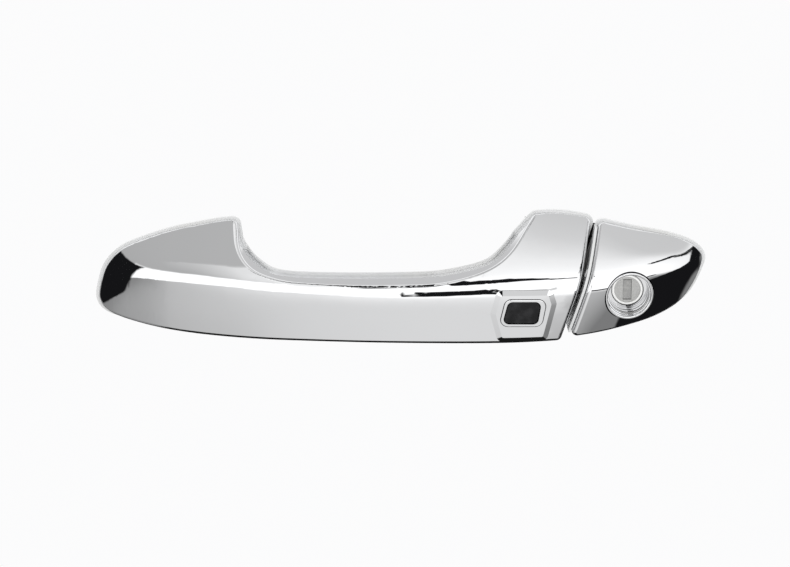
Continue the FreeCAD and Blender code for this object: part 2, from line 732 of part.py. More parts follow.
def lock_plug():
    body = rod_y(LOCK[0], LOCK[1], PLUG_RADIUS, depth_y(PLUG_FACE), LOCK_BODY_END + 0.2)
    body = body.makeChamfer(0.5, front_edges(body))
    body = body.cut(lock_rod(PLUG_DISH, depth_y(PLUG_FACE) - 1, depth_y(PLUG_FACE) + PLUG_DISH_DEPTH))
    groove_y = CAM_START + CAM_THICKNESS
    tail = lock_block(TAIL_SIDE / 2, TAIL_SIDE / 2, LOCK_BODY_END, groove_y + 2 * CLIP_THICKNESS + 0.6)
    width, height, deep = KEY_SLOT
    slot = lock_block(width / 2, height / 2, depth_y(PLUG_FACE + 1), depth_y(PLUG_FACE) + deep)
    groove = lock_rod(TAIL_SIDE, groove_y, groove_y + CLIP_THICKNESS + FIT)
    groove = groove.cut(lock_rod(TAIL_SIDE / 2 - 0.3, groove_y - 1, groove_y + CLIP_THICKNESS + 1))
    return joined([body, tail]).cut(slot).cut(groove)


def shutter_hinge():
    """Where the shutter's hinge lies, as (y, z)."""
    return depth_y(PLUG_FACE) + SHUTTER_SINK + SHUTTER_THICKNESS / 2, LOCK[1] + KEY_SLOT[1] / 2 - 0.55


def slot_shutter():
    y, z = shutter_hinge()
    half = KEY_SLOT[0] / 2 - 0.12
    across = (LOCK[0] - half, LOCK[0] + half)
    thick = (y - SHUTTER_THICKNESS / 2, y + SHUTTER_THICKNESS / 2)
    leaf = box(across, thick, (LOCK[1] - KEY_SLOT[1] / 2 + 0.2, z))
    barrel = rod_x(y, z, SHUTTER_THICKNESS / 2, *across)
    return joined([leaf, barrel])


def lock_cam():
    end = CAM_START + CAM_THICKNESS
    disc = lock_rod(PLUG_RADIUS - 0.5, CAM_START, end)
    toe = rod_y(LOCK[0], LOCK[1] - CAM_REACH, 3.0, CAM_START, end)
    blade = box((LOCK[0] - 3.0, LOCK[0] + 3.0), (CAM_START, end), (LOCK[1] - CAM_REACH, LOCK[1]))
    square = lock_block(TAIL_SIDE / 2 + FIT, TAIL_SIDE / 2 + FIT, CAM_START - 1, end + 1)
    return joined([disc, blade, toe]).cut(square)


def cam_clip():
    start = CAM_START + CAM_THICKNESS
    ring = lock_rod(5.2, start + 0.02, start + CLIP_THICKNESS)
    ring = ring.cut(lock_rod(TAIL_SIDE / 2 - 0.25, start - 1, start + 2))
    return ring.cut(box((LOCK[0] - 1.2, LOCK[0] + 1.2), (start - 1, start + 2), (LOCK[1], LOCK[1] + 8)))


EAR_GAP = 0.4


def pivot_opening():
    across = (PIVOT[0] - 2 * PIVOT_EYE, PIVOT[0] + 1.5 * PIVOT_EYE + LEG_ROOM)
    return box(across, (-10, PLATE + 1), (PIVOT_LEG[0] - EAR_GAP, PIVOT_LEG[1] + EAR_GAP))


def leg_opening():
    top = LEG_Z[1] + FINGER_TIP + LEG_ROOM
    return box((LEG_X[0] - LEG_ROOM, LEG_X[1] + 3 * LEG_ROOM), (-10, PLATE + 1), (LEG_Z[0] - LEG_ROOM, top))


def front_gasket():
    keep_left = box((-150, FINGER_LEFT + 1.5), (-10, 10), (-45, 45))
    sheet = slab(handle_outline(LIP - GASKET_MARGIN), 0, GASKET).common(keep_left)
    return sheet.cut(pivot_opening()).cut(rod_y(-BOLT_SPREAD / 2, 0, 2.2 * BOLT_HOLE, -10, 10))


def rear_gasket():
    keep_right = box((FINGER_RIGHT - 1.5, 150), (-10, 10), (-45, 45))
    under_handle = slab(handle_outline(LIP - GASKET_MARGIN), 0, GASKET).common(keep_right)
    under_key = slab(key_outline(LIP - GASKET_MARGIN), 0, GASKET)
    sheet = joined([under_handle, under_key, slab(bridge_outline(), 0, GASKET)])
    sheet = sheet.cut(leg_opening()).cut(rod_y(BOLT_SPREAD / 2, 0, 2.2 * BOLT_HOLE, -10, 10))
    return sheet.cut(rod_y(LOCK[0], LOCK[1], RING_OUTER + LEG_ROOM, -10, 10))


def frame_plate(make_outline, span):
    plate = Part.Face(make_outline(-FRAME_INSET)).extrude(V(0, PLATE, 0))
    return plate.common(box(span, (-1, PLATE + 1), (-45, 45)))


def ear_x(span):
    """An ear for the crank pin, standing on the plate."""
    post = box(span, (PLATE - 1, CRANK_Y), (CRANK_Z - EAR_RADIUS, CRANK_Z + EAR_RADIUS))
    return post.fuse(rod_x(CRANK_Y, CRANK_Z, EAR_RADIUS, *span))


def ear_z(low, high):
    """An ear for the pivot pin, standing on the plate."""
    post = box((PIVOT[0] - PIVOT_EAR, PIVOT[0] + PIVOT_EAR), (PLATE - 1, PIVOT[1]), (low, high))
    return post.fuse(rod_z(PIVOT[0], PIVOT[1], PIVOT_EAR, low, high))


PIVOT_EARS = [
    (PIVOT_LEG[0] - EAR_GAP - PIVOT_EAR, PIVOT_LEG[0] - EAR_GAP),
    (PIVOT_LEG[1] + EAR_GAP, PIVOT_LEG[1] + EAR_GAP + PIVOT_EAR),
]


def mounting_frame():
    left = frame_plate(handle_outline, (-150, FRAME_CUT_LEFT))
    right = [
        frame_plate(handle_outline, (FRAME_CUT_RIGHT, 150)),
        frame_plate(key_outline, (FRAME_CUT_RIGHT, 150)),
        Part.Face(bridge_outline(-1.0)).extrude(V(0, PLATE, 0)),
    ]
    cheeks = [box(span, (PLATE - 1, BRIDGE_Y[1]), CHEEK_Z) for span in (CHEEK_LEFT, CHEEK_RIGHT)]
    bridge = box((CHEEK_LEFT[0], CHEEK_RIGHT[1]), BRIDGE_Y, CHEEK_Z)
    web = box(WEB_X, (PLATE - 1, BEAM_Y[1]), (CHEEK_Z[0], BEAM_Z[1] + 12))
    beam_x = (WEB_X[0], CHEEK_LEFT[1])
    beam = [
        box(beam_x, (BEAM_Y[1] - BEAM_FLANGE, BEAM_Y[1]), BEAM_Z),
        box(beam_x, BEAM_Y, (BEAM_Z[0], BEAM_Z[0] + BEAM_FLANGE)),
        box(beam_x, BEAM_Y, (BEAM_Z[1] - BEAM_FLANGE, BEAM_Z[1])),
    ]
    beam += [box((x, x + BEAM_FLANGE), BEAM_Y, BEAM_Z) for x in (WEB_X[0], -34, 8, CHEEK_LEFT[0])]
    boss_z = (LOCK[1] - 2 * LOCK_SCREW, LOCK[1] + 2 * LOCK_SCREW)
    lock_boss = box(LOCK_BOSS_X, (PLATE - 1, LOCK_SCREW_Y + 2 * LOCK_SCREW), boss_z)
    bolt_bosses = [rod_y(side * BOLT_SPREAD / 2, 0, 2.2 * BOLT_HOLE, 0, PLATE + 2) for side in (-1, 1)]
    ears = [ear_x(CHEEK_LEFT), ear_x(CHEEK_RIGHT)] + [ear_z(*span) for span in PIVOT_EARS]
    # The lower part of the beam hangs below the web and the cheek, so short posts reach down to it
    posts = [
        box(WEB_X, BEAM_Y, (BEAM_Z[0], CHEEK_Z[0] + 1)),
        box(CHEEK_LEFT, BEAM_Y, (BEAM_Z[0], CHEEK_Z[0] + 1)),
    ]
    frame = left.fuse(right + cheeks + [bridge, web] + beam + posts + [lock_boss] + bolt_bosses + ears)
    holes = [pivot_opening(), leg_opening(), rod_y(LOCK[0], LOCK[1], RING_OUTER, -1, PLATE + 1)]
    holes += [rod_y(side * BOLT_SPREAD / 2, 0, BOLT_HOLE, -1, PLATE + 3) for side in (-1, 1)]
    holes.append(rod_x(CRANK_Y, CRANK_Z, CRANK_PIN + 0.02, CHEEK_LEFT[0] - 1, CHEEK_RIGHT[1] + 1))
    holes.append(rod_z(PIVOT[0], PIVOT[1], PIVOT_PIN + 0.02, PIVOT_EARS[0][0] - 1, PIVOT_EARS[1][1] + 1))
    holes.append(rod_x(LOCK_SCREW_Y, LOCK[1], LOCK_SCREW + FIT, LOCK_BOSS_X[0] - 1, LOCK_BOSS_X[1] + 1))
    for hole in holes:
        frame = frame.cut(hole)
    return frame


def pivot_pin():
    shank = rod_z(PIVOT[0], PIVOT[1], PIVOT_PIN, PIVOT_EARS[0][0] - 0.6, PIVOT_EARS[1][1])
    return joined([shank, rod_z(PIVOT[0], PIVOT[1], PIN_HEAD, PIVOT_EARS[1][1], PIVOT_EARS[1][1] + 1.0)])


def crank_pin():
    shank = rod_x(CRANK_Y, CRANK_Z, CRANK_PIN, CHEEK_LEFT[0] - 0.6, CHEEK_RIGHT[1])
    return joined([shank, rod_x(CRANK_Y, CRANK_Z, PIN_HEAD, CHEEK_RIGHT[1], CHEEK_RIGHT[1] + 1.0)])


def turned(shape, angle):
    """Turn about the crank pin; zero points the finger straight down."""
    copy = shape.copy()
    copy.rotate(V(0, CRANK_Y, CRANK_Z), X_AXIS, angle)
    return copy


def bell_crank():
    hub = rod_x(CRANK_Y, CRANK_Z, CRANK_HUB, *CRANK_HUB_X)
    arm_y = (CRANK_Y - ARM_HALF, CRANK_Y + ARM_HALF)
    arm = box(FINGER_X, arm_y, (CRANK_Z - CRANK_ARM, CRANK_Z))
    tip = rod_x(CRANK_Y, CRANK_Z - CRANK_ARM, FINGER_TIP, *FINGER_X)
    stalk = box(FINGER_X, arm_y, (CRANK_Z, CRANK_Z + WEIGHT_REACH - WEIGHT_RADIUS - FIT + 1.5))
    output = box(OUTPUT_X, (CRANK_Y, CRANK_Y + OUTPUT_REACH), (CRANK_Z - ARM_HALF, CRANK_Z + ARM_HALF))
    output = output.fuse(rod_x(CRANK_Y + OUTPUT_REACH, CRANK_Z, ROD_EYE, *OUTPUT_X))
    output = output.cut(rod_x(CRANK_Y + OUTPUT_REACH, CRANK_Z, ROD_HOLE, OUTPUT_X[0] - 1, OUTPUT_X[1] + 1))
    crank = joined([hub, arm, tip, stalk, turned(output, OUTPUT_LEAN)])
    crank = crank.cut(rod_x(CRANK_Y, CRANK_Z + WEIGHT_REACH, WEIGHT_RADIUS + 0.02, *WEIGHT_X))
    bore = rod_x(CRANK_Y, CRANK_Z, CRANK_PIN + TURNING_GAP, CRANK_HUB_X[0] - 1, CRANK_HUB_X[1] + 1)
    return turned(crank.cut(bore), CRANK_REST)


def counterweight():
    return turned(rod_x(CRANK_Y, CRANK_Z + WEIGHT_REACH, WEIGHT_RADIUS, *WEIGHT_X), CRANK_REST)


def return_spring():
    """Coils of square wire around the hub of the bell crank."""
    turns = 3
    pitch = (SPRING_X[1] - SPRING_X[0] - SPRING_WIRE * 2) / turns
    helix = Part.makeLongHelix(pitch, pitch * turns, SPRING_MEAN)
    low, high = SPRING_MEAN - SPRING_WIRE, SPRING_MEAN + SPRING_WIRE
    corners = [(low, -SPRING_WIRE), (high, -SPRING_WIRE), (high, SPRING_WIRE), (low, SPRING_WIRE)]
    section = Part.makePolygon([V(x, 0, z) for x, z in corners + corners[:1]])
    coil = Part.Wire(helix.Edges).makePipeShell([section], True, True)
    # The helix starts on +X of its own frame; after this turn its axis is +X and it starts on -Z
    coil.rotate(V(0, 0, 0), Y_AXIS, 90)
    coil.translate(V(SPRING_X[0] + SPRING_WIRE, CRANK_Y, CRANK_Z))
    return coil


def lock_retaining_screw():
    shank = rod_x(LOCK_SCREW_Y, LOCK[1], LOCK_SCREW, LOCK[0] + RING_OUTER - 1.3, LOCK_BOSS_X[1])
    head = rod_x(LOCK_SCREW_Y, LOCK[1], 1.8 * LOCK_SCREW, LOCK_BOSS_X[1], LOCK_BOSS_X[1] + 3.0)
    head = head.makeChamfer(0.4, [e for e in head.Edges if e.BoundBox.XMin > LOCK_BOSS_X[1] + 2.9])
    socket = rod_x(LOCK_SCREW_Y, LOCK[1], 0.8 * LOCK_SCREW, LOCK_BOSS_X[1] + 1.2, LOCK_BOSS_X[1] + 4)
    return joined([shank, head]).cut(socket)


def bump_stop():
    x, z = sum(LEG_X) / 2, sum(LEG_Z) / 2
    height = BRIDGE_Y[0] - LEG_END - 0.4
    return Part.makeCone(BUMPER_RADIUS, BUMPER_RADIUS * 0.7, height, V(x, BRIDGE_Y[0], z), -Y_AXIS)


def main():
    os.makedirs("parts", exist_ok=True)
    pieces = {
        "handle_cover": handle_cover,
        "handle_cover_tape": lambda: tape(handle_outline, TAPE_PADS),
        "handle_core": handle_core,
        "handle_back": handle_back,
        "handle_screws": handle_screws,
        "button_bezel": button_bezel,
        "request_button": request_button,
        "button_housing": button_housing,
        "switch_dome": switch_dome,
        "key_end_cover": key_end_cover,
        "key_end_tape": lambda: tape(key_outline, KEY_TAPE_PADS),
        "key_end_cap": key_end_cap,
        "lock_trim_ring": lock_trim_ring,
        "lock_housing": lock_housing,
        "lock_plug": lock_plug,
        "slot_shutter": slot_shutter,
        "lock_cam": lock_cam,
        "cam_clip": cam_clip,
        "front_gasket": front_gasket,
        "rear_gasket": rear_gasket,
        "mounting_frame": mounting_frame,
        "pivot_pin": pivot_pin,
        "crank_pin": crank_pin,
        "bell_crank": bell_crank,
        "counterweight": counterweight,
        "return_spring": return_spring,
        "lock_retaining_screw": lock_retaining_screw,
        "bump_stop": bump_stop,
    }
    for name, make in pieces.items():
        make().exportStep("parts/" + name + ".step")


if __name__ == "__main__":
    main()
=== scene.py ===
import bpy
import math
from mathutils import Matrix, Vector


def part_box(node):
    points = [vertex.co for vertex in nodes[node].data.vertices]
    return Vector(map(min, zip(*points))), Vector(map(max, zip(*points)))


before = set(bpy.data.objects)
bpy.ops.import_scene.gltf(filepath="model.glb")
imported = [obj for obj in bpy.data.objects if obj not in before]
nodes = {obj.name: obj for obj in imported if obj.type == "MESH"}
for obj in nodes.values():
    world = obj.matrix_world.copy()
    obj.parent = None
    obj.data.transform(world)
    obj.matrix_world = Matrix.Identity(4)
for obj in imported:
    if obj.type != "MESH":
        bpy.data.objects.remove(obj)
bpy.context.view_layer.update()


# Handle cover and key end cover.
# Thin moulded shells plated with bright chrome; they are pressed over the painted handle on foam tape.
# The plating is almost a mirror, with the faint waviness of moulded plastic under it and the odd wipe mark.
# Around the hole for the key lock a thin black ring is painted on the plating as a shadow line in the gap to
# the trim ring.
def add(tree, kind, links=None, **settings):
    """One shader node: `links` sets its inputs, from a socket or as a value, the rest its own settings."""
    made = tree.nodes.new(kind)
    for name, value in settings.items():
        setattr(made, name, value)
    for name, value in (links or {}).items():
        socket = made.inputs[name]
        if isinstance(value, bpy.types.NodeSocket):
            tree.links.new(value, socket)
        else:
            socket.default_value = value
    return made


def new_group(name, inputs, outputs):
    """An empty shader node group with named number inputs (name: value) and outputs (name: kind)."""
    group = bpy.data.node_groups.new(name, "ShaderNodeTree")
    for title, value in inputs.items():
        group.interface.new_socket(title, in_out="INPUT", socket_type="NodeSocketFloat").default_value = value
    for title, kind in outputs.items():
        group.interface.new_socket(title, in_out="OUTPUT", socket_type="NodeSocket" + kind)
    return group, group.nodes.new("NodeGroupInput").outputs, group.nodes.new("NodeGroupOutput").inputs


def new_material(name, **values):
    """A material with a Principled shader set to plain values."""
    material = bpy.data.materials.new(name)
    material.use_nodes = True
    shader = material.node_tree.nodes["Principled BSDF"]
    for title, value in values.items():
        shader.inputs[title.replace("_", " ").title()].default_value = value
    return material, material.node_tree, shader.inputs


def use(tree, group, **values):
    """A node group placed in a material with its own values."""
    placed = add(tree, "ShaderNodeGroup", node_tree=group)
    for title, value in values.items():
        placed.inputs[title.replace("_", " ").title()].default_value = value
    return placed.outputs


def math_node(tree, operation, first, second=0.0):
    return add(tree, "ShaderNodeMath", {0: first, 1: second}, operation=operation).outputs[0]


def mixed(tree, factor, first, second):
    """A colour between two others."""
    links = {"Factor": factor, "A": first, "B": second}
    return add(tree, "ShaderNodeMix", links, data_type="RGBA").outputs["Result"]


def smooth(tree, value, low, high, start=0.0, end=1.0):
    """From `start` to `end` as the value goes from low to high, with soft ends."""
    limits = {"Value": value, "From Min": low, "From Max": high, "To Min": start, "To Max": end}
    return add(tree, "ShaderNodeMapRange", limits, interpolation_type="SMOOTHSTEP").outputs["Result"]


def bump(tree, height, distance, strength):
    links = {"Height": height, "Distance": distance, "Strength": strength}
    return add(tree, "ShaderNodeBump", links).outputs["Normal"]


def noise(tree, place, scale, detail, roughness=0.5):
    """Soft random clouds over the object, about 0.5 on average."""
    links = {"Vector": place, "Scale": scale, "Detail": detail, "Roughness": roughness}
    return add(tree, "ShaderNodeTexNoise", links).outputs["Fac"]


def noise_along(tree, distance, scale):
    """Random bands along one distance."""
    links = {"W": distance, "Scale": scale, "Detail": 1.0}
    return add(tree, "ShaderNodeTexNoise", links, noise_dimensions="1D").outputs["Fac"]


def stretched(tree, place, scale, rotation=(0, 0, 0)):
    """The object's coordinates, turned and scaled differently along each axis."""
    links = {"Vector": place, "Rotation": rotation, "Scale": scale}
    return add(tree, "ShaderNodeMapping", links).outputs["Vector"]


def finish(material, *names):
    for name in names:
        nodes[name].data.materials.clear()
        nodes[name].data.materials.append(material)


# Handling marks: soft clouds and long faint wipes that change how sharp a polished surface mirrors
handling, given, result = new_group(
    "handling_marks", {"Polished": 0.03, "Handled": 0.08, "Wipes": 0.02}, {"Roughness": "Float"}
)
place = add(handling, "ShaderNodeTexCoord").outputs["Object"]
cloud = noise(handling, place, 38.0, 4.0, 0.62)
patches = smooth(handling, cloud, 0.45, 0.80, given["Polished"], given["Handled"])
along = stretched(handling, place, (14, 60, 420), (0, math.radians(4), 0))
streaks = noise(handling, along, 1.0, 2.0)
wiped = math_node(handling, "MULTIPLY", smooth(handling, streaks, 0.60, 0.76), given["Wipes"])
handling.links.new(math_node(handling, "ADD", patches, wiped), result["Roughness"])

# Moulding waviness: the low swell and the fine orange peel under a plated or painted skin
waviness, given, result = new_group(
    "moulded_waviness", {"Swell Size": 45.0, "Peel Size": 700.0, "Peel": 0.3}, {"Height": "Float"}
)
place = add(waviness, "ShaderNodeTexCoord").outputs["Object"]
swell = noise(waviness, place, given["Swell Size"], 0.0)
peel = math_node(waviness, "MULTIPLY", noise(waviness, place, given["Peel Size"], 1.0), given["Peel"])
waviness.links.new(math_node(waviness, "ADD", swell, peel), result["Height"])

CHROME_TINT = (0.90, 0.905, 0.915, 1)
# Black for painted shadow lines on the plating, and for the dark turned grooves in the trim ring's mouth.
SHADOW_AND_GROOVE_BLACK = (0.015, 0.015, 0.016, 1)
RING_RADIUS = 0.0103
ring_low, ring_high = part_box("lock_trim_ring")
ring_middle = ((ring_low[0] + ring_high[0]) / 2, 0, (ring_low[2] + ring_high[2]) / 2)


def lock_radius(tree, place):
    """Distance from the axis of the key lock."""
    flat = add(tree, "ShaderNodeVectorMath", {0: place, 1: (1, 0, 1)}, operation="MULTIPLY")
    links = {0: flat.outputs["Vector"], 1: ring_middle}
    return add(tree, "ShaderNodeVectorMath", links, operation="DISTANCE").outputs["Value"]


chrome, tree, shader = new_material("bright_plating", metallic=1.0)
place = add(tree, "ShaderNodeTexCoord").outputs["Object"]
# Painted shadow: a thin black ring on the plating around the lock's hole stands in for the shadow gap at the
# trim ring.
hole_shadow_line = smooth(tree, lock_radius(tree, place), RING_RADIUS + 0.0003, RING_RADIUS + 0.0004)
tree.links.new(mixed(tree, hole_shadow_line, SHADOW_AND_GROOVE_BLACK, CHROME_TINT), shader["Base Color"])
marks = use(tree, handling, polished=0.015, handled=0.035, wipes=0.012)
tree.links.new(marks["Roughness"], shader["Roughness"])
form = use(tree, waviness, swell_size=42.0, peel_size=500.0, peel=0.02)
tree.links.new(bump(tree, form["Height"], 0.00002, 0.3), shader["Normal"])
finish(chrome, "handle_cover", "key_end_cover")


# Painted inner half of the handle and the painted end cap.
# They are in the body colour, gloss white under clear lacquer, and show as a pale border around the covers.
# Sprayed lacquer has a fine orange peel, and the white is a little warmer in places.
# Deep in the split between handle and key end the white is painted black as shade in the gap.
PAINT_WHITE = (0.88, 0.885, 0.885, 1)
WARM_WHITE = (0.84, 0.84, 0.825, 1)
# Black painted into the split as shade in the gap.
SPLIT_SHADOW_BLACK = (0.012, 0.012, 0.012, 1)
SPLIT_WAY = (0.957, 0.0, -0.290)
SPLIT_AT = 0.0718
SPLIT_FRONT_Y, SPLIT_FRONT_Z, SPLIT_CURVE = -0.0306, -0.0015, 47.0
paint, tree, shader = new_material("body_paint", roughness=0.38, coat_weight=1.0, coat_roughness=0.05)
place = add(tree, "ShaderNodeTexCoord").outputs["Object"]
white = mixed(tree, smooth(tree, noise(tree, place, 30.0, 3.0), 0.45, 0.75), PAINT_WHITE, WARM_WHITE)
across = add(tree, "ShaderNodeVectorMath", {0: place, 1: SPLIT_WAY}, operation="DOT_PRODUCT").outputs["Value"]
off_split = math_node(tree, "ABSOLUTE", math_node(tree, "SUBTRACT", across, SPLIT_AT))
in_split = smooth(tree, off_split, 0.0005, 0.0003)
place_parts = add(tree, "ShaderNodeSeparateXYZ", {0: place}).outputs
off_middle = math_node(tree, "SUBTRACT", place_parts["Z"], SPLIT_FRONT_Z)
curve = math_node(tree, "MULTIPLY", math_node(tree, "POWER", off_middle, 2.0), SPLIT_CURVE)
depth = math_node(tree, "SUBTRACT", place_parts["Y"], math_node(tree, "ADD", curve, SPLIT_FRONT_Y))
# Painted shade: deep in the split the white is turned black where shade falls in the gap.
split_shade = math_node(tree, "MULTIPLY", in_split, smooth(tree, depth, 0.0025, 0.0045))
tree.links.new(mixed(tree, split_shade, white, SPLIT_SHADOW_BLACK), shader["Base Color"])
marks = use(tree, handling, polished=0.34, handled=0.46, wipes=0.03)
tree.links.new(marks["Roughness"], shader["Roughness"])
form = use(tree, waviness, swell_size=60.0, peel_size=900.0, peel=0.3)
tree.links.new(bump(tree, form["Height"], 0.000008, 0.2), shader["Normal"])
finish(paint, "handle_back", "key_end_cap")


# Foam tape under the covers.
# Black closed-cell foam with adhesive on both faces; its cut edges show the open cells.
foam, tree, shader = new_material("foam_tape", base_color=(0.05, 0.05, 0.05, 1), roughness=0.9)
place = add(tree, "ShaderNodeTexCoord").outputs["Object"]
cells = add(tree, "ShaderNodeTexVoronoi", {"Vector": place, "Scale": 2600.0}).outputs["Distance"]
tree.links.new(bump(tree, cells, 0.0002, 0.7), shader["Normal"])
finish(foam, "handle_cover_tape", "key_end_tape")


# Moulded plastics: the core half of the handle, the button's housing, the frame and the bell crank.
# Black plastic with the fine spark-eroded texture of its tool, rubbed a little paler at the edges.
# The frame and crank are filled with short glass fibre.
moulded, given, result = new_group(
    "moulded_plastic",
    {"Grain": 1500.0, "Fibre": 0.0, "Worn": 0.3},
    {"Wear": "Float", "Roughness": "Float", "Height": "Float"},
)
place = add(moulded, "ShaderNodeTexCoord").outputs["Object"]
grain = noise(moulded, place, given["Grain"], 3.0, 0.6)
fibre = noise(moulded, stretched(moulded, place, (90, 700, 700)), 1.0, 2.0)
flecks = math_node(moulded, "MULTIPLY", smooth(moulded, fibre, 0.62, 0.72), given["Fibre"])
moulded.links.new(math_node(moulded, "ADD", grain, flecks), result["Height"])
corner = add(moulded, "ShaderNodeNewGeometry").outputs["Pointiness"]
rubbed = math_node(moulded, "MULTIPLY", smooth(moulded, corner, 0.52, 0.60), given["Worn"])
pale_flecks = math_node(moulded, "MULTIPLY", flecks, 0.35)
moulded.links.new(math_node(moulded, "MAXIMUM", rubbed, pale_flecks), result["Wear"])
moulded.links.new(smooth(moulded, grain, 0.3, 0.7, 0.48, 0.64), result["Roughness"])


def black_moulding(name, colour, pale, distance, **values):
    """A black moulded plastic whose edges and fibre flecks show a paler colour."""
    material, tree, shader = new_material(name)
    skin = use(tree, moulded, **values)
    tree.links.new(mixed(tree, skin["Wear"], colour, pale), shader["Base Color"])
    tree.links.new(skin["Roughness"], shader["Roughness"])
    tree.links.new(bump(tree, skin["Height"], distance, 0.5), shader["Normal"])
    return material


CORE_BLACK, CORE_RUBBED = (0.022, 0.022, 0.023, 1), (0.09, 0.09, 0.09, 1)
FRAME_BLACK, FRAME_RUBBED = (0.028, 0.028, 0.030, 1), (0.13, 0.13, 0.13, 1)
core_plastic = black_moulding("core_plastic", CORE_BLACK, CORE_RUBBED, 0.00004, grain=1800.0)
finish(core_plastic, "handle_core", "button_housing")
frame_plastic = black_moulding(
    "glass_filled_plastic", FRAME_BLACK, FRAME_RUBBED, 0.00006, grain=1200.0, fibre=0.8, worn=0.45
)
finish(frame_plastic, "mounting_frame", "bell_crank")


# Button, its bezel and the switch dome.
# The bezel is a small plated frame; its sides, which face away from the front, are painted black as a shadow
# outline.
# The button is satin black plastic with a soft-touch skin, polished by fingers in the middle.
BUTTON_BLACK = (0.010, 0.010, 0.011, 1)
BUTTON_HAZE = (0.030, 0.030, 0.032, 1)
bezel_plating, tree, shader = new_material("bezel_plating", metallic=1.0)
outward = add(tree, "ShaderNodeTexCoord").outputs["Normal"]
facing = add(tree, "ShaderNodeSeparateXYZ", {0: outward}).outputs["Y"]
# Painted shade: faces turned away from the front are black, a shadow outline around the bezel.
bezel_side_shade = smooth(tree, facing, -0.90, -0.80)
tree.links.new(mixed(tree, bezel_side_shade, CHROME_TINT, SHADOW_AND_GROOVE_BLACK), shader["Base Color"])
marks = use(tree, handling, polished=0.03, handled=0.07, wipes=0.01)
tree.links.new(marks["Roughness"], shader["Roughness"])
finish(bezel_plating, "button_bezel")

button_skin, tree, shader = new_material("button_skin")
shader["Specular IOR Level"].default_value = 0.25
place = add(tree, "ShaderNodeTexCoord").outputs["Object"]
button_low, button_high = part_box("request_button")
middle = [(low + high) / 2 for low, high in zip(button_low, button_high)]
away = add(tree, "ShaderNodeVectorMath", {0: place, 1: middle}, operation="DISTANCE").outputs["Value"]
touched = smooth(tree, away, 0.008, 0.002)
haze = smooth(tree, noise(tree, place, 260.0, 3.0), 0.35, 0.75)
tree.links.new(mixed(tree, haze, BUTTON_BLACK, BUTTON_HAZE), shader["Base Color"])
tree.links.new(smooth(tree, touched, 0.0, 1.0, 0.42, 0.34), shader["Roughness"])
tree.links.new(bump(tree, noise(tree, place, 2600.0, 1.0), 0.00002, 0.35), shader["Normal"])
finish(button_skin, "request_button")

SILICONE_GREY = (0.45, 0.45, 0.43, 1)
silicone, tree, shader = new_material(
    "switch_silicone", base_color=SILICONE_GREY, roughness=0.55, subsurface_weight=0.1
)
finish(silicone, "switch_dome")


# Key lock: trim ring, housing, plug and the shutter of the key slot.
# The ring is plated and bright, with dull turned rings inside its mouth.
# The rest is die-cast zinc. The plug's face has fine turned rings, and keys have scuffed it around the slot.
RING_MOUTH = 0.0092
ring_plating, tree, shader = new_material("ring_plating", metallic=1.0)
marks = use(tree, handling, polished=0.05, handled=0.10, wipes=0.02)
tree.links.new(marks["Roughness"], shader["Roughness"])
place = add(tree, "ShaderNodeTexCoord").outputs["Object"]
depth = add(tree, "ShaderNodeSeparateXYZ", {0: place}).outputs["Y"]
grooves = noise_along(tree, depth, 620.0)
inside = smooth(tree, lock_radius(tree, place), RING_MOUTH, RING_MOUTH - 0.0002)
tree.links.new(bump(tree, math_node(tree, "MULTIPLY", grooves, inside), 0.0004, 1.0), shader["Normal"])
dull = math_node(tree, "MULTIPLY", inside, smooth(tree, grooves, 0.50, 0.56, 0.0, 0.95))
tree.links.new(mixed(tree, dull, CHROME_TINT, SHADOW_AND_GROOVE_BLACK), shader["Base Color"])
finish(ring_plating, "lock_trim_ring")

PLUG_DISH = 0.0056
ZINC = (0.62, 0.62, 0.61, 1)
DULL_ZINC = (0.50, 0.50, 0.49, 1)
DARK_ZINC = (0.36, 0.36, 0.355, 1)
RIM_ZINC = (0.88, 0.88, 0.87, 1)


def cast_zinc(name, turned, scuffed, dark=DULL_ZINC, bright=ZINC):
    """Die-cast zinc: mottled, with turning rings around the lock's axis and key scuffs, both from 0 to 1."""
    material, tree, shader = new_material(name, metallic=1.0)
    place = add(tree, "ShaderNodeTexCoord").outputs["Object"]
    mottle = noise(tree, place, 900.0, 4.0)
    mottled = mixed(tree, smooth(tree, mottle, 0.35, 0.70), dark, bright)
    radius = lock_radius(tree, place)
    rim = smooth(tree, radius, PLUG_DISH - 0.0001, PLUG_DISH + 0.0001, 0.0, turned)
    tree.links.new(mixed(tree, rim, mottled, RIM_ZINC), shader["Base Color"])
    rings = noise_along(tree, radius, 7000.0)
    scratch_way = stretched(tree, place, (4200, 500, 320), (0, math.radians(38), 0))
    scratch = noise(tree, scratch_way, 1.0, 0.0)
    scuffs = math_node(tree, "MULTIPLY", smooth(tree, scratch, 0.66, 0.74), scuffed)
    height = math_node(tree, "SUBTRACT", math_node(tree, "MULTIPLY", rings, turned), scuffs)
    tree.links.new(bump(tree, height, 0.00001, 0.6), shader["Normal"])
    matt = smooth(tree, mottle, 0.3, 0.7, 0.30, 0.44)
    polished = math_node(tree, "MULTIPLY", rim, 0.2)
    tree.links.new(math_node(tree, "SUBTRACT", matt, polished), shader["Roughness"])
    return material


finish(cast_zinc("turned_zinc", 1.0, 0.7), "lock_plug")
finish(cast_zinc("shutter_zinc", 0.0, 1.0, dark=DARK_ZINC, bright=DULL_ZINC), "slot_shutter")
finish(cast_zinc("cast_zinc", 0.0, 0.0), "lock_housing")


